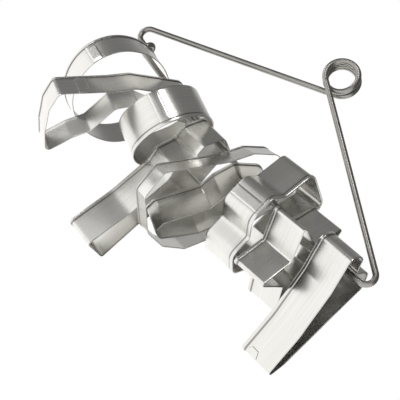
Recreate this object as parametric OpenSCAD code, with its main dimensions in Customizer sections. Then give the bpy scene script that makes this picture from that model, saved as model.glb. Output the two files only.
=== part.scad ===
// Set of nine pastry cutters threaded on a sprung wire keeper, millimetres.
// Origin: centre of the keeper's coil. X runs along the closing bar, Z up, Y away from the viewer.

/* [Keeper wire] */
// Diameter of the spring wire
wire_d = 3.2; // [2.8:0.1:3.4]
// Mean diameter of the torsion coil
coil_d = 17.5; // [16:0.5:20]
// Distance along the coil's axis from one turn to the next
coil_pitch = 3.8; // [3.8:0.1:4.4]
// Half the length of the closing bar, from its middle to the right bend
bar_half = 93; // [90:0.5:96]
// Drop from the coil's centre to the bar's right end
bar_drop = 69; // [66:0.5:72]
// How far the middle of the bar bows below its ends
bar_bow = 5.5; // [4:0.5:7]
// Radius of the corner bends, on the wire's centre line
bend_r = 4.75; // [4:0.25:6]
// Distance from the bar's middle to the hook at its left end
hook_x = 85.4; // [85:0.1:87.5]
// Gap between the hook and the clasp arm that it holds
hook_gap = 0.15; // [0.1:0.05:0.25]

/* [Tin plate] */
// Thickness of the tin plate
sheet_t = 0.4; // [0.3:0.05:0.6]
// Depth of each cutter from rim to cutting edge
cutter_depth = 20.5; // [18:0.5:21]
// Height of the folded rim
hem_h = 2; // [1.5:0.1:3]
// Thickness of the folded rim
hem_t = 1.2; // [0.9:0.1:1.5]
// Width of the lap where the strip's two ends are soldered
lap_w = 6; // [4:0.5:8]

/* [Hidden] */
$fn = 64;

wire_r = wire_d / 2;
wire_sides = 16;
coil_r = coil_d / 2;
tin = "lightgray";

// Bar: one arc whose lowest point is under the coil
bar_r = (bar_half * bar_half + bar_bow * bar_bow) / (2 * bar_bow);
bar_mid_z = -bar_drop - bar_bow;
function bar_z(x) = bar_mid_z + bar_r - sqrt(bar_r * bar_r - x * x);
function bar_slope(x) = asin(x / bar_r);

// Straight arm between two round bends that turn opposite ways: its direction and its two ends
function arm_dir(bend) = atan2(-bend[1], -bend[0]) + asin((coil_r + bend_r) / norm(bend));
function arm_foot(bend) = bend - bend_r * [-sin(arm_dir(bend)), cos(arm_dir(bend))];
function arm_top(bend) = coil_r * [-sin(arm_dir(bend)), cos(arm_dir(bend))];
function mirrored(p) = [-p[0], p[1]];

// Right bend joins the bar to the carrying wire's arm
right_end = [bar_half, bar_z(bar_half)];
right_slope = bar_slope(bar_half);
right_bend = right_end + bend_r * [-sin(right_slope), cos(right_slope)];

// Hook at the bar's left end: it arches over the clasp arm's short tail
hook_r = wire_d + hook_gap;
hook_slope = bar_slope(hook_x);
hook_turn = [-hook_x, bar_z(hook_x)] + hook_r * [sin(hook_slope), cos(hook_slope)];
hook_top = hook_turn - [hook_r, 0];
tail_y = hook_r;
tail_len = 3;
coil_end_gap = 0.15;

// Left bend joins the tail to the clasp arm; worked out on its mirror image
tail_run = bar_half - hook_x;
left_end = [-hook_top[0] + tail_run * cos(hook_slope), hook_top[1] + tail_run * sin(hook_slope)];
left_bend = left_end + bend_r * [-sin(hook_slope), cos(hook_slope)];

// Coil: runs clockwise from the carrying arm's end to the clasp arm's end, level where it meets them
coil_from = atan2(arm_top(right_bend)[1], arm_top(right_bend)[0]);
coil_to = -180 - atan2(arm_top(left_bend)[1], arm_top(left_bend)[0]);
coil_sweep = 720 - (coil_to - coil_from);
coil_rise = coil_pitch * coil_sweep / 360;
coil_rings = 56;
function coil_y(t) = coil_rise * (t - sin(360 * t) / (2 * PI));
coil_path = [for (i = [0 : coil_rings])
    let (a = coil_from - coil_sweep * i / coil_rings)
    [coil_r * cos(a), coil_y(i / coil_rings), coil_r * sin(a)]];
rings_a_turn = coil_rings * 360 / coil_sweep;
echo(least_gap_between_turns = min([for (i = [0 : coil_rings], j = [0 : coil_rings])
    if (j - i > rings_a_turn * 0.7) norm(coil_path[i] - coil_path[j])]) - wire_d);

// Stretch of wire's centre line bent round a point in the keeper's own plane
function bend_path(centre, r, from, to, n, y = 0) =
    [for (k = [0 : n]) let (a = from + (to - from) * k / n) [centre[0] + r * cos(a), y, centre[1] + r * sin(a)]];
function without_first(p) = [for (i = [1 : len(p) - 1]) p[i]];

carrying_path = concat(
    [[hook_top[0], 2 * hook_r, hook_top[1] - wire_d]],
    [for (k = [0 : 12]) [hook_top[0], hook_r + hook_r * cos(15 * k), hook_top[1] + hook_r * sin(15 * k)]],
    without_first(bend_path(hook_turn, hook_r, 180, 270 - hook_slope, 8)),
    without_first(bend_path([0, bar_mid_z + bar_r], bar_r, 270 - hook_slope, 270 + right_slope, 30)),
    without_first(bend_path(right_bend, bend_r, right_slope - 90, arm_dir(right_bend) - 90, 14)),
    [[arm_top(right_bend)[0], 0, arm_top(right_bend)[1]]]);

coil_end = mirrored(arm_top(left_bend));
clasp_top = coil_end + coil_end_gap * unit(mirrored(arm_foot(left_bend)) - coil_end);
clasp_path = concat(
    [[hook_top[0] + tail_len * cos(hook_slope), tail_y, hook_top[1] - tail_len * sin(hook_slope)]],
    bend_path(mirrored(left_bend), bend_r, 270 - hook_slope, 270 - arm_dir(left_bend), 14, tail_y),
    [[clasp_top[0], coil_rise, clasp_top[1]]]);

function unit(v) = v / norm(v);

// Tube of the wire's diameter swept along a path, its end rings square to the two given directions
module wire(path, first, last) {
    m = len(path);
    along = [for (i = [0 : m - 1])
        unit(i == 0 ? first : i == m - 1 ? last : unit(path[i + 1] - path[i]) + unit(path[i] - path[i - 1]))];
    start = unit(cross(along[0], abs(along[0][1]) < 0.5 ? [0, 1, 0] : [1, 0, 0]));
    side = [for (i = 0, n = start; i < m; i = i + 1, n = i < m ? unit(n - (n * along[i]) * along[i]) : n) n];
    polyhedron(
        points = [for (i = [0 : m - 1], j = [0 : wire_sides - 1])
            let (b = 360 * j / wire_sides)
            path[i] + wire_r * (cos(b) * side[i] + sin(b) * cross(along[i], side[i]))],
        faces = concat(
            [for (i = [0 : m - 2], j = [0 : wire_sides - 1])
                let (a = i * wire_sides + j, b = i * wire_sides + (j + 1) % wire_sides)
                each [[a, b + wire_sides, b], [a, a + wire_sides, b + wire_sides]]],
            [[for (j = [0 : wire_sides - 1]) j]],
            [[for (j = [wire_sides - 1 : -1 : 0]) (m - 1) * wire_sides + j]]));
}

function last_step(p) = p[len(p) - 1] - p[len(p) - 2];
carrying_end = last_step(carrying_path);
clasp_end = last_step(clasp_path);

module spring_coil() color(tin) wire(coil_path, carrying_end, -[clasp_end[0], 0, clasp_end[2]]);
module carrying_wire() color(tin) wire(carrying_path, carrying_path[1] - carrying_path[0], carrying_end);
module clasp_arm() color(tin) wire(clasp_path, clasp_path[1] - clasp_path[0], [clasp_end[0], 0, clasp_end[2]]);

// Outline of a bent strip: corners [across, up, radius], each rounded by a short arc
function corner_arc(a, b, c, r, n = 5) =
    let (u = unit(a - b), v = unit(c - b), half = acos(u * v) / 2, run = r / tan(half),
        centre = b + unit(u + v) * r / sin(half), from = unit(b + u * run - centre),
        to = unit(b + v * run - centre), turn = 180 - 2 * half)
    [for (k = [0 : n]) centre + r * (sin((1 - k / n) * turn) * from + sin(k / n * turn) * to) / sin(turn)];
function flat(p) = [p[0], p[1]];
function outline(corners) =
    let (m = len(corners))
    [for (i = [0 : m - 1]) each
        corner_arc(flat(corners[(i + m - 1) % m]), flat(corners[i]), flat(corners[(i + 1) % m]), corners[i][2])];
function ring(d, centre, n = 48) = [for (k = [0 : n - 1]) centre + d / 2 * [cos(360 * k / n), sin(360 * k / n)]];
function star(r_out, r_in, tips, centre, turn, soft) =
    outline([for (k = [0 : 2 * tips - 1])
        let (r = k % 2 == 0 ? r_out : r_in, a = turn + 180 * k / tips)
        [centre[0] + r * cos(a), centre[1] + r * sin(a), soft]]);

// The same outline moved outwards by d, corner by corner
function grown(p, d) =
    let (m = len(p))
    [for (i = [0 : m - 1])
        let (e = unit(p[i] - p[(i + m - 1) % m]), f = unit(p[(i + 1) % m] - p[i]),
            n1 = [e[1], -e[0]], n2 = [f[1], -f[0]])
        p[i] + d * (n1 + n2) / (1 + n1 * n2)];

module strip(path, h, t) {
    linear_extrude(height = h) difference() {
        polygon(grown(path, t / 2));
        polygon(grown(path, -t / 2));
    }
}

// How far the lap's end runs into the folded rim
lap_root = sheet_t / 2;

// Lap of the strip's ends: a second thickness outside the wall, centred on the outline's point number at
module lap(path, at) {
    m = len(path);
    d = path[(at + 1) % m] - path[at];
    w = min(lap_w, norm(d) * 0.8);
    mid = (path[at] + path[(at + 1) % m]) / 2;
    translate([mid[0], mid[1], hem_h]) rotate([0, 0, atan2(d[1], d[0])])
        translate([-w / 2, -1.4 * sheet_t, -lap_root]) cube([w, 1.2 * sheet_t, cutter_depth - hem_h]);
}

// One cutter: wall, folded rim at z = 0, and the soldered lap
module bent_cutter(path, lap_at) {
    color(tin) union() {
        strip(path, cutter_depth, sheet_t);
        strip(path, hem_h, hem_t);
        lap(path, lap_at);
    }
}

// Hangs a cutter on the bar at x, turned by az and raised by el; rim_left puts its rim on the left side
module hang(x, az, el, rim_left = true) {
    translate([x, 0, bar_z(x)]) rotate([0, 0, az]) rotate([0, -el, 0]) rotate([90, 0, 90])
        if (rim_left) children();
        else mirror([0, 0, 1]) children();
}

round_path = ring(55, [4, -23.6]);
boot_path = outline([[14, 7, 3], [0, 6, 4], [-20, -15, 8], [-26, -26, 8], [-41, -50, 4], [-36, -59, 5],
    [-27, -67, 5], [-17, -73, 2], [-16, -58, 6], [-13.5, -47, 3], [-17, -30, 5],
    [-11.5, -19, 5], [3, -10, 5], [15, -1, 4]]);
small_round_path = ring(46, [0, -17.5]);
candle_path = outline([[6.7, 3, 2], [-3, 3, 3], [-8, -8, 3], [-5, -16, 3], [-8, -27, 3], [-4, -34, 3],
    [-2, -59, 30], [-3, -86, 1.5], [12, -84, 1.5], [9, -59, 30], [10, -30, 4], [14, -20, 3], [10, -9, 3]]);
figure_path = outline([[11.6, 9.2, 2], [1, 9.2, 4], [-8, -2, 3], [-8, -14, 3], [-6, -22, 3], [-12, -46, 3],
    [-10, -52, 2], [-4, -52, 2], [5, -34, 3], [8, -14, 3], [11.6, 0, 3]]);
leaf_path = outline([[24.4, 16, 3], [2, 18, 4], [-6, 8, 3], [-10, -4, 3], [-26, -34, 4], [-22, -49, 4],
    [-6, -58, 3], [4, -56, 3], [12, -48, 3], [15, -38, 3], [16.5, -30, 3], [21.4, -24, 3], [22.4, -12, 3]]);
flower_path = outline([[14, 21, 5], [-16, 21, 5], [-19, 2, 3], [-26, -4, 6], [-25, -19, 6], [-14, -24, 3],
    [-13, -36, 5], [0, -40, 5], [8, -30, 3], [20, -32, 5], [23, -18, 5], [15, -11, 2], [14, 2, 4]]);
star_path = star(30, 13.5, 5, [3.9, -14], 90, 1.5);
cone_path = outline([[17, 4, 4], [8, 9, 4], [0, 1.7, 3], [-8, 9, 4], [-16, 2, 4], [-11, -4, 3], [-3, -14, 6],
    [10, -38, 30], [18, -64, 1.5], [21, -50, 20], [18, -14, 10]]);

module round_cutter() hang(-85.5, -24, -9) bent_cutter(round_path, 24);
module boot_cutter() hang(-58.4, -28, -11) bent_cutter(boot_path, 23);
module small_round_cutter() hang(-25, 6, -14, false) bent_cutter(small_round_path, 24);
module candle_cutter() hang(-27.8, -12, 0) bent_cutter(candle_path, 17);
module figure_cutter() hang(8.7, -23, -14.3) bent_cutter(figure_path, 5);
module leaf_cutter() hang(3.6, -44, -3) bent_cutter(leaf_path, 5);
module flower_cutter() hang(46, -8, 6, false) bent_cutter(flower_path, 23);
module star_cutter() hang(47.5, -8, 6) bent_cutter(star_path, 11);
module cone_cutter() hang(70, -8, 4) bent_cutter(cone_path, 5);

spring_coil();
carrying_wire();
clasp_arm();
round_cutter();
boot_cutter();
small_round_cutter();
candle_cutter();
leaf_cutter();
figure_cutter();
flower_cutter();
star_cutter();
cone_cutter();
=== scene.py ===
# %% [markdown]
# # Nine pastry cutters on a sprung wire keeper
# The real thing is a set of cutters bent from strips of tin plate, threaded on a spring-wire pin
# that closes like a large safety pin. Its construction is already packed as a model with joints.
# This notebook loads that model as a fixed frame, lays finer surfaces over its parts and gives
# them their metal.

# %% Load the frame
import math

import bpy
import numpy as np
from mathutils import Matrix, Vector


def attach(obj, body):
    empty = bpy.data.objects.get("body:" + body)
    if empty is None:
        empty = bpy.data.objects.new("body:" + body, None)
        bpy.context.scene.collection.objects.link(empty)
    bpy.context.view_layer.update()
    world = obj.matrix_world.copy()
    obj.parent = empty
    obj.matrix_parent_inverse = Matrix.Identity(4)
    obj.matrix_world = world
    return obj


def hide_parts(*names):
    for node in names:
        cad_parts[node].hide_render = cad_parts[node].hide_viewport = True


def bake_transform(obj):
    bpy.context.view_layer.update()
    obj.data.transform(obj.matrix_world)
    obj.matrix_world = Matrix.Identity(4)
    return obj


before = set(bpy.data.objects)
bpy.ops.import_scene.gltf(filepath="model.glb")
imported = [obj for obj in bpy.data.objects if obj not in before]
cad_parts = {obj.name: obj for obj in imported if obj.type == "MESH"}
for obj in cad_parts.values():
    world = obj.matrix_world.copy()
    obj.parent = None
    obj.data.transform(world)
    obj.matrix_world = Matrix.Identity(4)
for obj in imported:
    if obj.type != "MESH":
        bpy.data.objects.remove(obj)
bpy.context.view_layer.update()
MM = 0.001

# %% [markdown]
# ## The camera
# The photograph looks at the hanging set from a little below its middle, and it was turned by
# nearly fifty degrees afterwards, so the closing bar runs down to the right. The object could be
# turned instead, but a camera that is turned about its own axis gives the same picture and leaves
# the set hanging upright. It is placed by its three axes: rough numbers, made exactly square.

# %% Place the camera by its three axes
CAMERA_RIGHT = np.array([0.595, 0.174, 0.783])
CAMERA_UP = np.array([-0.681, -0.407, 0.607])
CAMERA_BACK = np.array([0.425, -0.896, -0.124])
CAMERA_DISTANCE = 500
LENS_MM, SENSOR_MM = 87.3, 36.0
CLIP_NEAR, CLIP_FAR = 0.01, 50
# the coil's middle, as seen from the middle of the view: mm to the right, up, and nearer
COIL_RIGHT, COIL_UP, COIL_NEARER = 75.1, 66.1, -13.0
LOOKED_AT = -(CAMERA_RIGHT * COIL_RIGHT + CAMERA_UP * COIL_UP + CAMERA_BACK * COIL_NEARER)


def square_axes(right, up, back):
    """Makes three nearly square axes exactly square: back is kept, right loses its part along it,
    and up becomes the cross product of the two."""
    back = back / np.linalg.norm(back)
    right = right - back * (right @ back)
    right = right / np.linalg.norm(right)
    return right, np.cross(back, right), back


def place_camera():
    """The camera stands at the point looked at + back * distance."""
    right, up, back = square_axes(CAMERA_RIGHT, CAMERA_UP, CAMERA_BACK)
    lens = bpy.data.cameras.new("camera")
    lens.lens, lens.sensor_width = LENS_MM, SENSOR_MM
    lens.clip_start, lens.clip_end = CLIP_NEAR, CLIP_FAR
    camera = bpy.data.objects.new("camera", lens)
    bpy.context.scene.collection.objects.link(camera)
    place = (LOOKED_AT + back * CAMERA_DISTANCE) * MM
    matrix = np.eye(4)
    matrix[:3, 0], matrix[:3, 1], matrix[:3, 2], matrix[:3, 3] = right, up, back, place
    camera.matrix_world = Matrix(matrix.tolist())
    bpy.context.scene.camera = camera
    print("camera at", place.round(3))


place_camera()

# %% [markdown]
# ## The keeper's wire
# The keeper is one spring wire: a coil of nearly two turns, two arms, and a closing bar that ends
# in a hook. Wire is drawn through a die, so its section is the same round everywhere, and all that
# changes is the line it follows. A Blender curve with a round bevel would give such a tube too.
# Here the line is worked out in numbers first, as arcs and straight runs that touch each other,
# because then its length is known and the lines from the die can run along it.

# %% Sizes of the keeper, in millimetres
WIRE_D = 3.2
COIL_R = 17.5 / 2  # to the middle of the wire
COIL_PITCH = 3.8
BAR_HALF = 93.0
BAR_DROP = 69.0  # from the coil's axis down to the bar's two ends
BAR_BOW = 5.5  # from there down to the bar's middle
BEND_R = 4.75
HOOK_X = 85.4  # from the bar's middle to where the hook begins
HOOK_R = WIRE_D + 0.15
TAIL_LEN = 3.0  # the clasp arm's end, past the hook
COIL_END_GAP = 0.15  # between the coil's last turn and the clasp arm

BAR_R = (BAR_HALF**2 + BAR_BOW**2) / (2 * BAR_BOW)
BAR_MID_Z = -BAR_DROP - BAR_BOW
print("the bar is an arc of radius", round(BAR_R), "mm")

# %% [markdown]
# ## Where the runs meet
# Every straight run has to leave one arc and reach the next without a kink. A tangent of two
# circles can be found by trying, but one arcsine gives it exactly, so that is what is used.
# x and z lie in the keeper's plane, and y is across it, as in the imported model.

# %% The bar's arc, and the points where arms, bends and hook begin
LOWEST = 1.5 * math.pi  # angle of a circle's lowest point


def bar_height(x):
    """Height of the closing bar above x: one shallow arc, lowest under the coil."""
    return BAR_MID_Z + BAR_R - math.sqrt(BAR_R**2 - x**2)


def bar_slope(x):
    """Slope of the same arc as an angle: asin(x / radius)."""
    return math.asin(x / BAR_R)


def side_of(direction, radius):
    """The point at a radius to the left of a direction: radius * (-sin, cos)."""
    return radius * np.array([-math.sin(direction), math.cos(direction)])


def arm_direction(bend):
    """Direction of the arm that touches the coil on one side and the corner bend on the other:
    that of the line between the centres, plus asin((coil radius + bend radius) / distance)."""
    return math.atan2(-bend[1], -bend[0]) + math.asin((COIL_R + BEND_R) / math.hypot(*bend))


right_slope, hook_slope = bar_slope(BAR_HALF), bar_slope(HOOK_X)
right_bend = np.array([BAR_HALF, bar_height(BAR_HALF)]) + side_of(right_slope, BEND_R)
right_arm = arm_direction(right_bend)
hook_turn = np.array([-HOOK_X, bar_height(HOOK_X)]) + side_of(-hook_slope, HOOK_R)
hook_top = hook_turn - np.array([HOOK_R, 0])
tail_way = np.array([math.cos(hook_slope), math.sin(hook_slope)])
# the left arm is worked out as if it were on the right, and mirrored in clasp_line
left_bend = hook_top * [-1, 1] + (BAR_HALF - HOOK_X) * tail_way + side_of(hook_slope, BEND_R)
left_arm = arm_direction(left_bend)
print("arms run at", [round(math.degrees(arm)) for arm in (right_arm, left_arm)], "degrees")

# %% [markdown]
# ## The coil
# The coil is the spring, nearly two turns that part the two arms. A Screw modifier would make an
# even helix, which leaves at a slant and kinks where the arms begin. So the rise is eased here: it
# starts and ends level, as wire that is wound round a peg does.

# %% Line of the coil
def coil_line(count=280):
    """Nearly two turns about Y: the angle falls evenly, and y grows as
    rise * (t - sin(2 pi t) / 2 pi), so that it starts and ends level with the arms."""
    start = math.atan2(*side_of(right_arm, COIL_R)[::-1])
    end = -math.pi - math.atan2(*side_of(left_arm, COIL_R)[::-1])
    sweep = 4 * math.pi - (end - start)
    t = np.linspace(0, 1, count)
    a = start - sweep * t
    rise = COIL_PITCH * sweep / (2 * math.pi)
    y = rise * (t - np.sin(2 * math.pi * t) / (2 * math.pi))
    return np.stack([COIL_R * np.cos(a), y, COIL_R * np.sin(a)], 1), rise


coil_points, coil_rise = coil_line()
print("the coil rises", round(coil_rise, 2), "mm from arm to arm")

# %% [markdown]
# ## The carrying wire and the clasp arm
# The carrying wire comes down from the coil, bends, runs as the closing bar through all nine
# cutters, and ends in a small hook. The clasp arm comes down on the other side, and its tail is
# caught in that hook. The whole wire could be one line, but the clasp turns about the coil when it
# is pressed, so each arm is a line of its own.

# %% Line of the carrying wire: hook, bar, right bend and right arm
def arc(centre, radius, start, end, count, y=0.0):
    """Points of a circle in the keeper's plane: centre + radius * (cos a, sin a)."""
    a = np.linspace(start, end, count)
    x, z = centre[0] + radius * np.cos(a), centre[1] + radius * np.sin(a)
    return np.stack([x, np.full(count, y), z], 1)


def stretched(a, b, count):
    """Evenly spaced points from a to b, without a itself: a + t (b - a)."""
    return np.asarray(a) + np.linspace(0, 1, count)[1:, None] * (np.asarray(b) - np.asarray(a))


def carrying_line(hook_count=20):
    """The hook is half a circle across the plane, and the rest is three arcs and a straight run."""
    a = np.linspace(0, math.pi, hook_count)
    hook_y, hook_z = HOOK_R + HOOK_R * np.cos(a), hook_top[1] + HOOK_R * np.sin(a)
    hook = np.stack([np.full(hook_count, hook_top[0]), hook_y, hook_z], 1)
    tip = np.array([[hook_top[0], 2 * HOOK_R, hook_top[1] - WIRE_D]])
    turn = arc(hook_turn, HOOK_R, math.pi, LOWEST - hook_slope, count=14)
    bar = arc([0, BAR_MID_Z + BAR_R], BAR_R, LOWEST - hook_slope, LOWEST + right_slope, count=90)
    corner = arc(right_bend, BEND_R, right_slope - math.pi / 2, right_arm - math.pi / 2, count=24)
    top = side_of(right_arm, COIL_R)
    arm = stretched(corner[-1], [top[0], 0, top[1]], count=50)
    return np.concatenate([tip, hook, turn[1:], bar[1:], corner[1:], arm])


carrying_points = carrying_line()
print("carrying wire:", len(carrying_points), "points")


# %% Line of the clasp arm: tail, left bend and left arm
def clasp_line(rise):
    """At its foot it runs through the hook's middle, HOOK_R across the plane, and at its top it is
    level with the coil's last turn, where it stops a small gap short of the coil."""
    tail_x, tail_z = hook_top + TAIL_LEN * tail_way * [1, -1]
    centre = left_bend * [-1, 1]
    start, end = LOWEST - hook_slope, LOWEST - left_arm
    corner = arc(centre, BEND_R, start, end, count=24, y=HOOK_R)
    top = side_of(left_arm, COIL_R) * [-1, 1]
    foot = centre + BEND_R * np.array([math.cos(end), math.sin(end)])
    stop = top + COIL_END_GAP * (foot - top) / np.linalg.norm(foot - top)
    arm = stretched(corner[-1], [stop[0], rise, stop[1]], count=60)
    return np.concatenate([[[tail_x, HOOK_R, tail_z]], corner, arm])


WIRES = {
    "spring_coil": ("keeper", coil_points),
    "carrying_wire": ("keeper", carrying_points),
    "clasp_arm": ("clasp", clasp_line(coil_rise)),
}
for name, (body, line) in WIRES.items():
    length = np.linalg.norm(np.diff(line, axis=0), axis=1).sum()
    print(name, "length", round(float(length), 1), "mm")

# %% [markdown]
# ## From a grid of points to a mesh
# Every surface here is a grid: one way along the strip or wire, the other way round its section.
# Blender could skin a line or extrude a profile, but a grid keeps its rows in order. So one helper
# can turn it into faces, give it a UV map in real lengths, so that a pattern can run along the
# metal, and turn the faces outwards by the sign of the enclosed volume.

# %% Mesh helpers
UV_UNIT = 100.0  # mm of metal in one unit of the UV map


def enclosed_volume(points, quads):
    """Sum of the signed cones from the origin to each quad's two triangles."""
    a, b, c, d = (points[quads[:, k]] for k in range(4))
    return float((np.cross(a, b) * c).sum() + (np.cross(a, c) * d).sum()) / 6


def finish_mesh(name, points, faces, uv, attributes=()):
    """Points and UV lengths in mm become a smooth mesh in metres, with one value a point for
    each attribute."""
    mesh = bpy.data.meshes.new(name)
    mesh.from_pydata((points * MM).tolist(), [], np.asarray(faces).tolist())
    layer = mesh.uv_layers.new(name="strip")
    layer.data.foreach_set("uv", (uv / UV_UNIT).astype(np.float32).ravel())
    for key, values in attributes:
        attribute = mesh.attributes.new(key, "FLOAT", "POINT")
        attribute.data.foreach_set("value", values.astype(np.float32).ravel())
    mesh.polygons.foreach_set("use_smooth", np.ones(len(mesh.polygons), bool))
    mesh.update()
    piece = bpy.data.objects.new(name, mesh)
    bpy.context.scene.collection.objects.link(piece)
    return piece


def grid_piece(name, grid, along, across, closed, attributes=()):
    """Mesh of a grid [n, m, 3] that is closed round its section (m) and, if asked, along its
    length (n). Point (i, j) is number i * m + j, and each face takes the four points round it.
    along [n + 1] and across [m + 1] are lengths in mm for the UV map."""
    n, m = grid.shape[:2]
    i, j = np.meshgrid(np.arange(n if closed else n - 1), np.arange(m), indexing="ij")
    corners = ((0, 0), (1, 0), (1, 1), (0, 1))
    quads = np.stack([(i + di) % n * m + (j + dj) % m for di, dj in corners], -1).reshape(-1, 4)
    uv = np.stack([np.stack([along[i + di], across[j + dj]], -1) for di, dj in corners], -2)
    uv = uv.reshape(-1, 4, 2)
    points = grid.reshape(-1, 3)
    if enclosed_volume(points, quads) < 0:
        quads, uv = quads[:, ::-1], uv[:, ::-1]
    return finish_mesh(name, points, quads, uv.reshape(-1, 2), attributes)


print("one UV unit is", UV_UNIT, "mm of metal")

# %% Tube with rounded ends along a line
CAP_RINGS = 6
CAP_END = 0.98  # of a quarter turn, so that the last ring has a size
FIRST_SIDE = [0.3, 0.9, 0.1]  # any direction that the wire doesn't start along


def unit_rows(v):
    """Each row divided by its own length."""
    return v / np.linalg.norm(v, axis=-1, keepdims=True)


def carried_side(tangent):
    """A direction square to the line at every point, kept from turning: at each step it loses
    what lies along the line. It needs the step before, so it goes ring by ring."""
    side = np.zeros_like(tangent)
    side[0] = np.cross(tangent[0], FIRST_SIDE)
    side[0] /= np.linalg.norm(side[0])
    for k in range(1, len(tangent)):
        side[k] = side[k - 1] - tangent[k] * (side[k - 1] @ tangent[k])
        side[k] /= np.linalg.norm(side[k])
    return side


def wire_piece(name, line, sides=28):
    """A ring of radius r carried along the line. At both ends it shrinks as cos t while it moves
    on by a quarter of the wire's thickness times sin t, and the last ring closes to a point."""
    tangent = unit_rows(np.gradient(line, axis=0))
    cap = np.linspace(0, math.pi / 2, CAP_RINGS + 1)[1:] * CAP_END
    shrunk = np.cos(cap) * WIRE_D / 2
    r = np.concatenate([shrunk[::-1], np.full(len(line), WIRE_D / 2), shrunk])
    line = np.concatenate([line[0] - tangent[0] * np.sin(cap[::-1, None]) * WIRE_D / 4, line,
                           line[-1] + tangent[-1] * np.sin(cap[:, None]) * WIRE_D / 4])
    tangent = np.concatenate([np.repeat(tangent[:1], CAP_RINGS, 0), tangent,
                              np.repeat(tangent[-1:], CAP_RINGS, 0)])
    side = carried_side(tangent)
    a = np.linspace(0, 2 * math.pi, sides, endpoint=False)[None, :, None]
    ring = np.cos(a) * side[:, None] + np.sin(a) * np.cross(tangent, side)[:, None]
    grid = line[:, None] + r[:, None, None] * ring
    start, end = (np.repeat(grid[k].mean(1, keepdims=True), sides, 1) for k in ([0], [-1]))
    grid = np.concatenate([start, grid, end])
    steps = np.linalg.norm(np.diff(grid.mean(1), axis=0), axis=1)
    along = np.concatenate([[0], np.cumsum(steps), [0]])
    across = np.linspace(0, math.pi * WIRE_D, sides + 1)
    return grid_piece(name, grid, along, across, closed=False)


wire_pieces = {name: wire_piece(name + "_wire", line) for name, (body, line) in WIRES.items()}
print("wire faces:", sum(len(p.data.polygons) for p in wire_pieces.values()))

# %% [markdown]
# ## The outlines of the cutters
# Each cutter is one strip bent round a template. Its outline could be drawn by hand as a curve,
# but a maker thinks of corners and of how tightly the strip bends there, so it is given as the
# template's corners, each with its radius, in the plane of the rim: across, and up from the bar.

# %% Outline of rounded corners
STEP = 1.6  # mm between the points of a straight run
BEND_STEP = 7  # degrees between the points of a bend


def rounded_bend(before, here, after, r):
    """Arc of radius r that touches both sides of a corner. Its centre lies on the line that
    halves the corner, r / sin(half) away, and t turns the arc from its start to its end."""
    u = (before - here) / np.linalg.norm(before - here)
    v = (after - here) / np.linalg.norm(after - here)
    half = math.acos(np.clip(u @ v, -1, 1)) / 2
    centre = here + (u + v) / np.linalg.norm(u + v) * r / math.sin(half)
    start, turn = unit_rows(here + u * r / math.tan(half) - centre), math.pi - 2 * half
    stop = unit_rows(here + v * r / math.tan(half) - centre)
    t = np.linspace(0, 1, max(5, int(math.degrees(turn) / BEND_STEP)))[:, None]
    swept = np.sin((1 - t) * turn) * start + np.sin(t * turn) * stop
    return centre + r * swept / math.sin(turn)


def rounded(corners):
    """Closed line through corners given as (across, up, radius): each becomes a bend, and the
    straight runs between bends are filled with evenly spaced points."""
    c = np.array(corners, float)
    bends = [rounded_bend(c[k - 1, :2], c[k, :2], c[(k + 1) % len(c), :2], c[k, 2])
             for k in range(len(c))]
    points = []
    for k, bend in enumerate(bends):
        points.append(bend)
        run = bends[(k + 1) % len(bends)][0] - bend[-1]
        count = int(np.linalg.norm(run) / STEP)
        if count > 1:
            points.append(bend[-1] + np.linspace(0, 1, count + 1)[1:-1, None] * run)
    return np.concatenate(points)


def ring(diameter, centre, count=120):
    """centre + diameter / 2 * (cos a, sin a), once round."""
    a = np.linspace(0, 2 * math.pi, count, endpoint=False)
    return np.array(centre) + diameter / 2 * np.stack([np.cos(a), np.sin(a)], 1)


def star(r_out, r_in, tips, centre, turn, bend_r):
    """Corners at r_out and r_in in turn, 180 / tips degrees apart."""
    a = math.radians(turn) + math.pi * np.arange(2 * tips) / tips
    r = np.where(np.arange(2 * tips) % 2 == 0, r_out, r_in)
    x, y = centre[0] + r * np.cos(a), centre[1] + r * np.sin(a)
    return rounded(np.stack([x, y, np.full(2 * tips, bend_r)], 1))


print("a ring of 55 mm:", len(ring(55, [0, 0])), "points")

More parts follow.
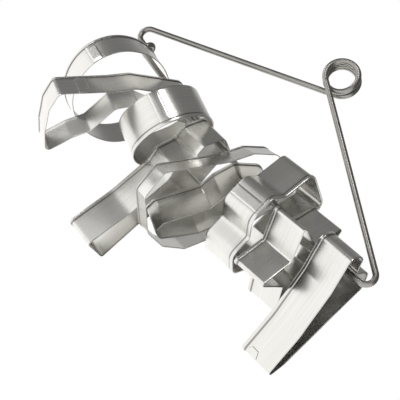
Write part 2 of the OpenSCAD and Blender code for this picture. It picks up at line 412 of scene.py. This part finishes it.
# %% The nine outlines, with the place of each on the bar
# outline; place: x on the bar, turn about the vertical, tilt, and whether the rim is on the left;
# lap: the point of the outline where the strip's two ends meet
CUTTERS = {
    "round": (
        ring(55, [4, -23.6]),
        (-85.5, -24, -9, True), (-23.5, -23.6)),
    "boot": (
        rounded([[14, 7, 3], [0, 6, 4], [-20, -15, 8], [-26, -26, 8], [-41, -50, 4],
                 [-36, -59, 5], [-27, -67, 5], [-17, -73, 2], [-16, -58, 6], [-13.5, -47, 3],
                 [-17, -30, 5], [-11.5, -19, 5], [3, -10, 5], [15, -1, 4]]),
        (-58.4, -28, -11, True), (-34, -38)),
    "small_round": (
        ring(46, [0, -17.5]),
        (-25, 6, -14, False), (-23, -17.5)),
    "candle": (
        rounded([[6.7, 3, 2], [-3, 3, 3], [-8, -8, 3], [-5, -16, 3], [-8, -27, 3], [-4, -34, 3],
                 [-2, -59, 30], [-3, -86, 1.5], [12, -84, 1.5], [9, -59, 30], [10, -30, 4],
                 [14, -20, 3], [10, -9, 3]]),
        (-27.8, -12, 0, True), (-6.5, -12)),
    "figure": (
        rounded([[11.6, 9.2, 2], [1, 9.2, 4], [-8, -2, 3], [-8, -14, 3], [-6, -22, 3],
                 [-12, -46, 3], [-10, -52, 2], [-4, -52, 2], [5, -34, 3], [8, -14, 3],
                 [11.6, 0, 3]]),
        (8.7, -23, -14.3, True), (6.3, 9.2)),
    "leaf": (
        rounded([[24.4, 16, 3], [2, 18, 4], [-6, 8, 3], [-10, -4, 3], [-26, -34, 4],
                 [-22, -49, 4], [-6, -58, 3], [4, -56, 3], [12, -48, 3], [15, -38, 3],
                 [16.5, -30, 3], [21.4, -24, 3], [22.4, -12, 3]]),
        (3.6, -44, -3, True), (13, 17)),
    "flower": (
        rounded([[14, 21, 5], [-16, 21, 5], [-19, 2, 3], [-26, -4, 6], [-25, -19, 6],
                 [-14, -24, 3], [-13, -36, 5], [0, -40, 5], [8, -30, 3], [20, -32, 5],
                 [23, -18, 5], [15, -11, 2], [14, 2, 4]]),
        (46, -8, 6, False), (-25.5, -11.5)),
    "star": (
        star(30, 13.5, 5, [3.9, -14], 90, 1.5),
        (47.5, -8, 6, True), (-14.3, -3.9)),
    "cone": (
        rounded([[17, 4, 4], [8, 9, 4], [0, 1.7, 3], [-8, 9, 4], [-16, 2, 4], [-11, -4, 3],
                 [-3, -14, 6], [10, -38, 30], [18, -64, 1.5], [21, -50, 20], [18, -14, 10]]),
        (70, -8, 4, True), (12.5, 6.5)),
}
print({name: len(outline) for name, (outline, place, lap) in CUTTERS.items()})

# %% [markdown]
# ## The strip's section
# A safe cutter has one thin edge that cuts and one edge that is folded over to press on. The fold
# is what catches the light, as a bright bead with a dark groove under it. A thicker rim would show
# the bead and not the groove, so it is drawn as a real fold: round the nose and back down the
# outside, ending just clear of the wall.

# %% Section, in mm: depth from the rim, and distance outwards from the strip's middle
SHEET = 0.4
DEPTH = 20.5
SECTION = np.array([
    [0.00, 0.10], [0.05, -0.10], [0.22, -0.27], [0.55, -0.34], [1.30, -0.32], [2.10, -0.24],
    [2.80, -0.20], [5.0, -0.20], [8.0, -0.20], [11.0, -0.20], [14.0, -0.20], [17.0, -0.20],
    [19.6, -0.20], [20.30, -0.19], [20.44, -0.12], [20.50, 0.0], [20.44, 0.12], [20.30, 0.19],
    [19.6, 0.20], [17.0, 0.20], [14.0, 0.20], [11.0, 0.20], [8.0, 0.20], [5.0, 0.20],
    [3.0, 0.20], [2.25, 0.20], [1.98, 0.21], [1.93, 0.26], [1.98, 0.38], [1.97, 0.50],
    [1.85, 0.58], [1.55, 0.60], [0.90, 0.60], [0.45, 0.58], [0.18, 0.46], [0.04, 0.28]])
print("the fold is", round(float(np.ptp(SECTION[SECTION[:, 0] < 2, 1])), 2), "mm thick")

# %% Painted shade by depth: in the groove under the fold, and a little at the thin edge
GROOVE_AT, GROOVE_SPREAD = 2.3, 0.45
EDGE_SPREAD, EDGE_SHARE = 0.25, 0.5


def shade_by_depth(depth, out):
    """Painted shade as two bells, exp(-(distance / spread) ** 2): one at the groove, on the outside
    only, and a fainter one at the thin edge."""
    groove = np.exp(-((depth - GROOVE_AT) / GROOVE_SPREAD) ** 2) * (out > 0)
    return groove + np.exp(-((depth - DEPTH) / EDGE_SPREAD) ** 2) * EDGE_SHARE


print("most dirt:", round(float(shade_by_depth(SECTION[:, 0], SECTION[:, 1]).max()), 2))

# %% [markdown]
# ## Bent by hand, and hung on the bar
# A strip that was bent by hand is never quite even. A noise modifier would crumple it, so each
# strip gets a few slow waves along its length, which are strongest at the thin edge because the
# fold keeps the other edge stiff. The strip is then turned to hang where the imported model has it.

# %% Helpers for the strips
WAVES = np.array([3, 5, 8, 13])  # along one strip
WAVE_LEAST, WAVE_MOST = 0.02, 0.06  # mm
RIM_SHARE = 0.25  # of the unevenness that is left at the fold


def closed_normals(line):
    """Outward normals of a closed anticlockwise line: the mean of its two neighbouring sides,
    turned by a right angle."""
    d = unit_rows(np.roll(line, -1, 0) - np.roll(line, 1, 0))
    return np.stack([d[:, 1], -d[:, 0]], 1)


def lengths_round(line):
    """Length along a closed line up to each point, and at last all the way round."""
    return np.concatenate([[0], np.cumsum(np.linalg.norm(np.roll(line, -1, 0) - line, axis=1))])


def hand_bent(s, length, depth, seed):
    """Slow waves along the strip, stronger towards the thin edge:
    (0.25 + 0.75 depth / DEPTH) * sum of a_k sin(2 pi k s / length + p_k)."""
    rng = np.random.default_rng(seed)
    amount = rng.uniform(WAVE_LEAST, WAVE_MOST, len(WAVES))
    phase = rng.uniform(0, 2 * math.pi, len(WAVES))
    angle = 2 * math.pi * WAVES[:, None] * s[None] / length + phase[:, None]
    wave = (amount[:, None] * np.sin(angle)).sum(0)
    return wave[:, None] * (RIM_SHARE + (1 - RIM_SHARE) * np.clip(depth, 0, DEPTH) / DEPTH)[None]


def to_frame(across, up, depth, place):
    """A point of the cutter's own plane, moved to the bar: depth turns to X, across to Y, up to Z,
    then tilt about Y, turn about Z, and on to the bar's point at x."""
    x, turn, tilt, rim_left = place
    turn, tilt = math.radians(turn), math.radians(tilt)
    depth = depth if rim_left else -depth
    u = np.array([math.cos(tilt) * math.cos(turn), math.cos(tilt) * math.sin(turn), math.sin(tilt)])
    v = np.array([-math.sin(turn), math.cos(turn), 0])
    w = np.cross(u, v)
    hung = np.array([x, 0, bar_height(x)])
    return hung + depth[..., None] * u + across[..., None] * v + up[..., None] * w


print("waves along a strip:", WAVES.tolist())

# %% The nine strips
FIRST_SEED = 7


def strip_piece(name, outline, place, seed):
    """The section carried round the outline: each point is outline + (out + unevenness) * normal,
    at its own depth."""
    s = lengths_round(outline)
    depth, out = SECTION[:, 0], SECTION[:, 1]
    offset = out[None] + hand_bent(s[:-1], s[-1], depth, seed)
    flat = outline[:, None] + offset[..., None] * closed_normals(outline)[:, None]
    grid = to_frame(flat[..., 0], flat[..., 1], np.broadcast_to(depth, offset.shape), place)
    # painted shade, one value a point: in the groove under the fold, and faintly at the thin edge
    painted_shade = np.broadcast_to(shade_by_depth(depth, out), offset.shape)
    return grid_piece(name, grid, s, lengths_round(SECTION), closed=True,
                      attributes=[("painted_shade", painted_shade)])


strips = {name: strip_piece(name + "_strip", outline, place, seed)
          for seed, (name, (outline, place, lap)) in enumerate(CUTTERS.items(), FIRST_SEED)}
print("strip faces:", {name: len(p.data.polygons) for name, p in strips.items()})

# %% [markdown]
# ## The laps and the closing tab
# A strip's two ends lie over each other and are soldered, which shows as a thin second layer
# across the wall. The cone has a tab with two slanting sides besides, folded over at its tip and
# pressed flat. Both could be flat boxes, but the wall under them curves. So the plate is drawn flat
# and then wrapped: each of its points takes the wall's place at its own distance along the strip.

# %% Plates that lie on the outside of a strip
LAP_W = 6.0
LAP_RISE = 0.3
LAP_TOP, LAP_FOOT = 2.2, DEPTH - 0.2  # from just under the fold to just short of the thin edge
# corners in mm: along the strip from the lap's middle, and depth from the rim
LAP_SHAPE = [[-LAP_W / 2, LAP_TOP], [LAP_W / 2, LAP_TOP],
             [LAP_W / 2, LAP_FOOT], [-LAP_W / 2, LAP_FOOT]]
TAB_SHAPE = [[-4.6, 4.6], [-0.9, 2.9], [-0.9, 10.4], [-4.6, 8.9]]
SIDE_POINTS = 8
# the plate's loops from its foot on the wall to the middle of its face: size, height in mm,
# painted shade, darkest at the foot where the plate meets the wall, and length across for the UV
# map
PLATE_LOOPS = ((1.0, 0.0, 1.0, 0), (1.0, LAP_RISE * 0.8, 0.7, 0.3), (0.97, LAP_RISE, 0, 0.4),
               (0.6, LAP_RISE, 0, 1.5), (0.3, LAP_RISE, 0, 2.5), (0.02, LAP_RISE, 0, 3.0))
PLATE_ROUND = 30  # mm round the plate, for the UV map


def plate_piece(name, outline, place, near, shape):
    """A plate with straight sides on the wall, centred on the outline's point next to near. Each
    loop is the rim shrunk towards the plate's middle, wrapped by arc length and lifted off."""
    s = lengths_round(outline)
    middle = s[int(np.argmin(np.linalg.norm(outline - np.array(near), axis=1)))]
    corners = np.array(shape)
    t = np.linspace(0, 1, SIDE_POINTS + 1)[:-1, None]
    rim = np.concatenate([here + t * (after - here)
                          for here, after in zip(corners, np.roll(corners, -1, 0))])
    centre = rim.mean(0)
    # rows of x, y and the normal's x, y at each length in s, with the first point again at the end
    wall = np.concatenate([outline, closed_normals(outline)], 1)
    wall = np.concatenate([wall, wall[:1]]).T
    sizes, heights, shade_amount, lengths = np.array(PLATE_LOOPS).T
    grid = []
    for size, height in zip(sizes, heights):
        loop = centre + (rim - centre) * size
        x, y, nx, ny = (np.interp((middle + loop[:, 0]) % s[-1], s, row) for row in wall)
        off = SHEET / 2 + height
        grid.append(to_frame(x + off * nx, y + off * ny, loop[:, 1], place))
    grid = np.stack(grid)
    # painted shade round the plate's foot, where it meets the wall
    painted_shade = np.broadcast_to(shade_amount[:, None], grid.shape[:2])
    across = np.linspace(0, PLATE_ROUND, grid.shape[1] + 1)
    return grid_piece(name, grid, np.append(lengths, lengths[-1]), across, closed=False,
                      attributes=[("painted_shade", painted_shade)])


CONE_TIP = (17.6, -63)
laps = {name: [plate_piece(name + "_lap", outline, place, near, LAP_SHAPE)]
        for name, (outline, place, near) in CUTTERS.items()}
laps["cone"].append(plate_piece("cone_tab", *CUTTERS["cone"][:2], CONE_TIP, TAB_SHAPE))
print("plates:", {name: len(plates) for name, plates in laps.items()})

# %% [markdown]
# ## Colours and nodes
# Colours are written as they look on a screen and turned to linear light once. A material could be
# built by hand in the node editor, but a list in code can be read and changed. One small helper
# adds a node with its settings and links, so that a material reads as such a list.

# %% Helpers for materials
NOISE_LOW, NOISE_HIGH = 0.3, 0.7  # nearly all of a noise's values lie between these


def linear(hex_colour):
    """sRGB to linear: c / 12.92 below 0.04045, ((c + 0.055) / 1.055) ** 2.4 above."""
    c = np.array([int(hex_colour[k:k + 2], 16) / 255 for k in (1, 3, 5)])
    return (*np.where(c <= 0.04045, c / 12.92, ((c + 0.055) / 1.055) ** 2.4), 1.0)


def add_node(tree, kind, links=(), **settings):
    """A node of a kind. links are {socket: output}. A setting is one of the node's own, or an
    input by its name with _ for each space, or by its number after one _."""
    node = tree.nodes.new(kind)
    for key, value in settings.items():
        if key in node.bl_rna.properties:
            setattr(node, key, value)
            continue
        name = key.replace("_", " ")
        node.inputs[name if name in node.inputs else int(key[1:])].default_value = value
    for socket, source in dict(links).items():
        tree.links.new(source, node.inputs[socket])
    return node


def new_material(name):
    """An empty material and its node tree."""
    material = bpy.data.materials.new(name)
    material.use_nodes = True
    material.node_tree.nodes.clear()
    return material, material.node_tree


print("mid grey in linear light:", round(float(linear("#808080")[0]), 3))

# %% [markdown]
# ## Tin plate
# Steel strip, cold rolled and coated with tin. To the eye it is a satin metal, greyer than silver,
# with fine lines along the strip from the rolls and patches that are duller than others. Painted
# shade darkens the groove under the fold, the thin edge a little, and the foot of each lap. The
# lines could be scratched in with an image, but a noise that is stretched along the strip's own UV
# map follows every bend. Real roll lines are much finer than a pixel, and so is the coating's
# grain, so both are drawn as coarse as they need to show.

# %% Tin plate
# the last of these three colours is painted shade, for the groove, the thin edge and the laps' feet
TIN_DARK, TIN_LIGHT, TIN_SHADE_COLOUR = "#cbc9c4", "#e3e2de", "#45423d"
TIN_SHADE_SHARE = 0.85
ROLL_LINE_ALONG, ROLL_LINE_ACROSS = 62.5, 100 / 60  # mm
ROLL_LINE_HEIGHT, TIN_GRAIN_HEIGHT = 0.00005, 0.00003  # m
TIN_PATCHES = 28.0  # in a metre, so 36 mm each
TIN_GRAIN = 700.0  # in a metre, so 1.4 mm each
TIN_ROUGH_LEAST, TIN_ROUGH_MOST = 0.21, 0.32


def tin_plate():
    """Roll lines give the tint and a bump, patches the roughness, and a point attribute mixes in
    painted shade. Metallic is 1, with the default IOR."""
    material, tree = new_material("rolled_tin_plate")
    uv = add_node(tree, "ShaderNodeUVMap", uv_map="strip")
    place = add_node(tree, "ShaderNodeTexCoord").outputs["Object"]
    stretch = add_node(tree, "ShaderNodeMapping", {"Vector": uv.outputs["UV"]},
                       Scale=(UV_UNIT / ROLL_LINE_ALONG, UV_UNIT / ROLL_LINE_ACROSS, 1.0))
    lines = add_node(tree, "ShaderNodeTexNoise", {"Vector": stretch.outputs[0]},
                     Scale=1.0, Detail=3.0, Roughness=0.6)
    patches = add_node(tree, "ShaderNodeTexNoise", {"Vector": place},
                       Scale=TIN_PATCHES, Detail=3.0, Roughness=0.5)
    grain = add_node(tree, "ShaderNodeTexNoise", {"Vector": place},
                     Scale=TIN_GRAIN, Detail=2.0, Roughness=0.6)
    tint = add_node(tree, "ShaderNodeMix", {0: lines.outputs["Fac"]}, data_type="RGBA",
                    _6=linear(TIN_DARK), _7=linear(TIN_LIGHT))
    # painted shade, read from the point attribute and mixed over the tint
    painted_shade = add_node(tree, "ShaderNodeAttribute", attribute_name="painted_shade")
    shade_amount = add_node(tree, "ShaderNodeMath", {0: painted_shade.outputs["Fac"]}, operation="MULTIPLY",
                    _1=TIN_SHADE_SHARE)
    shade = add_node(tree, "ShaderNodeMix", {0: shade_amount.outputs[0], 6: tint.outputs[2]},
                     data_type="RGBA", _7=linear(TIN_SHADE_COLOUR))
    rough = add_node(tree, "ShaderNodeMapRange", {"Value": patches.outputs["Fac"]},
                     From_Min=NOISE_LOW, From_Max=NOISE_HIGH,
                     To_Min=TIN_ROUGH_LEAST, To_Max=TIN_ROUGH_MOST)
    rolled = add_node(tree, "ShaderNodeBump", {"Height": lines.outputs["Fac"]},
                      Strength=0.3, Distance=ROLL_LINE_HEIGHT)
    bump = add_node(tree, "ShaderNodeBump",
                    {"Height": grain.outputs["Fac"], "Normal": rolled.outputs[0]},
                    Strength=0.05, Distance=TIN_GRAIN_HEIGHT)
    shader = add_node(tree, "ShaderNodeBsdfPrincipled",
                      {"Base Color": shade.outputs[2], "Roughness": rough.outputs[0],
                       "Normal": bump.outputs[0]}, Metallic=1.0)
    add_node(tree, "ShaderNodeOutputMaterial", {"Surface": shader.outputs[0]})
    return material


TIN = tin_plate()
print(TIN.name, "with", len(TIN.node_tree.nodes), "nodes")

# %% [markdown]
# ## Spring wire
# Hard drawn steel wire. To the eye it is darker than the tin and nearly even, a little duller in
# some places where it was handled, with faint lines along its length from the die. The lines are
# made as on the tin, by a noise stretched along the wire's own UV map, and as coarse.

# %% Spring wire
WIRE_DARK, WIRE_LIGHT = "#8b8984", "#a2a09b"
DIE_LINE_ALONG, DIE_LINE_ACROSS = 50.0, 100 / 60  # mm
DIE_LINE_HEIGHT = 0.00003  # m
WIRE_STAINS = 55.0  # in a metre, so 18 mm each
WIRE_ROUGH_LEAST, WIRE_ROUGH_MOST = 0.26, 0.36


def spring_wire():
    """Stains give the tint and the roughness, and die lines a faint bump. Metallic is 1, with
    the default IOR."""
    material, tree = new_material("drawn_spring_wire")
    uv = add_node(tree, "ShaderNodeUVMap", uv_map="strip")
    place = add_node(tree, "ShaderNodeTexCoord").outputs["Object"]
    stretch = add_node(tree, "ShaderNodeMapping", {"Vector": uv.outputs["UV"]},
                       Scale=(UV_UNIT / DIE_LINE_ALONG, UV_UNIT / DIE_LINE_ACROSS, 1.0))
    lines = add_node(tree, "ShaderNodeTexNoise", {"Vector": stretch.outputs[0]},
                     Scale=1.0, Detail=2.0, Roughness=0.5)
    stains = add_node(tree, "ShaderNodeTexNoise", {"Vector": place},
                      Scale=WIRE_STAINS, Detail=4.0, Roughness=0.6)
    tint = add_node(tree, "ShaderNodeMix", {0: stains.outputs["Fac"]}, data_type="RGBA",
                    _6=linear(WIRE_DARK), _7=linear(WIRE_LIGHT))
    rough = add_node(tree, "ShaderNodeMapRange", {"Value": stains.outputs["Fac"]},
                     From_Min=NOISE_LOW, From_Max=NOISE_HIGH,
                     To_Min=WIRE_ROUGH_LEAST, To_Max=WIRE_ROUGH_MOST)
    bump = add_node(tree, "ShaderNodeBump", {"Height": lines.outputs["Fac"]},
                    Strength=0.06, Distance=DIE_LINE_HEIGHT)
    shader = add_node(tree, "ShaderNodeBsdfPrincipled",
                      {"Base Color": tint.outputs[2], "Roughness": rough.outputs[0],
                       "Normal": bump.outputs[0]}, Metallic=1.0)
    add_node(tree, "ShaderNodeOutputMaterial", {"Surface": shader.outputs[0]})
    return material


WIRE = spring_wire()
print(WIRE.name, "with", len(WIRE.node_tree.nodes), "nodes")

# %% [markdown]
# ## What each piece rides on
# The arms stay rigid and the coil between them winds when the clasp is pressed. Here the coil's
# placement is baked into its mesh and it rides on no body. Each cutter swings with its lap as one
# piece, and the imported parts under the new pieces are hidden.

# %% Give each piece its metal, hang all but the coil on their bodies, and hide the parts under them
for name, piece in wire_pieces.items():
    piece.data.materials.append(WIRE)
    if name == "spring_coil":
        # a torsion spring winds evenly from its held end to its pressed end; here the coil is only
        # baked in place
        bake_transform(piece)
    else:
        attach(piece, WIRES[name][0])
    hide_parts(name)
for name in CUTTERS:
    for piece in (strips[name], *laps[name]):
        piece.data.materials.append(TIN)
        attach(piece, name + "_cutter")
    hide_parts(name + "_cutter")
print("pieces:", len(wire_pieces) + len(strips) + sum(len(plates) for plates in laps.values()))

# %% [markdown]
# ## Floor, world and lamps
# Metal shows its surroundings more than its own colour. In the photograph the faces that look down
# are almost white and the faces that look up are mid grey. An image of a studio would give that
# too. Here the set hangs over a wide white floor in a grey room, which is bright up to the horizon
# and paler straight behind the set. A small lamp in front and above gives the wires their thin
# highlight, and a weaker one on the left fills the walls.

# %% Floor: white to the camera and in reflections, plain pale paint for light and shadow
FLOOR_Z, FLOOR_HALF = -0.42, 40.0  # m
FLOOR_PAINT = (0.8, 0.8, 0.8, 1)  # already linear, #e7e7e7 on a screen
FLOOR_GLOW, FLOOR_GLOW_SHARE = 1.5, 0.9  # the tenth that is left is paint, and keeps the shadow
WHITE = linear("#ffffff")


def pale_floor():
    """One square, whose shader is mixed by the kind of ray that meets it."""
    x, z = FLOOR_HALF, FLOOR_Z
    mesh = bpy.data.meshes.new("floor")
    mesh.from_pydata([(-x, -x, z), (x, -x, z), (x, x, z), (-x, x, z)], [], [(0, 1, 2, 3)])
    floor = bpy.data.objects.new("floor", mesh)
    bpy.context.scene.collection.objects.link(floor)
    material, tree = new_material("pale_floor")
    ray = add_node(tree, "ShaderNodeLightPath").outputs
    seen = add_node(tree, "ShaderNodeMath", {0: ray["Is Camera Ray"], 1: ray["Is Glossy Ray"]},
                    operation="MAXIMUM")
    seen = add_node(tree, "ShaderNodeMath", {0: seen.outputs[0], 1: ray["Is Transmission Ray"]},
                    operation="MAXIMUM")
    share = add_node(tree, "ShaderNodeMath", {0: seen.outputs[0]}, operation="MULTIPLY",
                     _1=FLOOR_GLOW_SHARE)
    paint = add_node(tree, "ShaderNodeBsdfDiffuse", Color=FLOOR_PAINT)
    glow = add_node(tree, "ShaderNodeEmission", Color=WHITE, Strength=FLOOR_GLOW)
    mix = add_node(tree, "ShaderNodeMixShader",
                   {0: share.outputs[0], 1: paint.outputs[0], 2: glow.outputs[0]})
    add_node(tree, "ShaderNodeOutputMaterial", {"Surface": mix.outputs[0]})
    mesh.materials.append(material)
    print("floor", round(-z * 1000), "mm below the coil")


pale_floor()

# %% World: white where the camera looks past the object, a grey room for what the metal reflects
ROOM_GREY = 0.21
WALL_GREY = 0.7  # straight behind the set
WALL_ENDS, WALL_FULL = 0.6, 0.95  # cosines of the angle from the line of sight
LOW_LIGHT = 1.15  # below the horizon
LOW_FULL, LOW_ENDS = -0.08, 0.2  # heights of a direction of length 1


def studio_world():
    """The brighter of two smooth steps, one by the angle from straight behind the set and one by
    height. The camera sees plain white instead."""
    world = bpy.data.worlds.new("studio")
    world.use_nodes = True
    tree = world.node_tree
    tree.nodes.clear()
    ray = add_node(tree, "ShaderNodeLightPath")
    sky = add_node(tree, "ShaderNodeTexCoord").outputs["Generated"]
    behind = add_node(tree, "ShaderNodeVectorMath", {0: sky}, operation="DOT_PRODUCT",
                      _1=tuple(-CAMERA_BACK))
    wall = add_node(tree, "ShaderNodeMapRange", {"Value": behind.outputs["Value"]},
                    interpolation_type="SMOOTHSTEP",
                    From_Min=WALL_ENDS, From_Max=WALL_FULL, To_Min=ROOM_GREY, To_Max=WALL_GREY)
    height = add_node(tree, "ShaderNodeSeparateXYZ", {0: sky})
    low = add_node(tree, "ShaderNodeMapRange", {"Value": height.outputs["Z"]},
                   interpolation_type="SMOOTHSTEP",
                   From_Min=LOW_FULL, From_Max=LOW_ENDS, To_Min=LOW_LIGHT, To_Max=0.0)
    room = add_node(tree, "ShaderNodeMath", {0: wall.outputs[0], 1: low.outputs[0]},
                    operation="MAXIMUM")
    white = add_node(tree, "ShaderNodeMix", {0: ray.outputs["Is Camera Ray"], 2: room.outputs[0]},
                     data_type="FLOAT", _3=1.0)
    backdrop = add_node(tree, "ShaderNodeBackground", {"Strength": white.outputs[0]}, Color=WHITE)
    add_node(tree, "ShaderNodeOutputWorld", {"Surface": backdrop.outputs[0]})
    bpy.context.scene.world = world
    print("world:", world.name)


studio_world()

# %% Two soft lamps
LAMP_AIM = (0, 0, -0.08)  # the middle of the set


def soft_lamp(name, place, size, watts):
    """A round lamp at a place, turned so that its beam points at the middle of the set."""
    lamp = bpy.data.lights.new(name, "AREA")
    lamp.shape, lamp.size, lamp.energy = "DISK", size, watts
    holder = bpy.data.objects.new(name, lamp)
    bpy.context.scene.collection.objects.link(holder)
    holder.location = place
    beam = Vector(LAMP_AIM) - Vector(place)
    holder.rotation_euler = beam.to_track_quat("-Z", "Y").to_euler()
    print(name, "is", round(beam.length, 2), "m away")


soft_lamp("key_lamp", place=(-0.35, -1.5, 0.75), size=0.45, watts=4)
soft_lamp("fill_lamp", place=(-1.3, -0.5, 0.1), size=0.3, watts=2)

# %% [markdown]
# ## Colour management
# The picture is shown through the Standard view transform.

# %% Colour management
scene = bpy.context.scene
scene.view_settings.view_transform = "Standard"
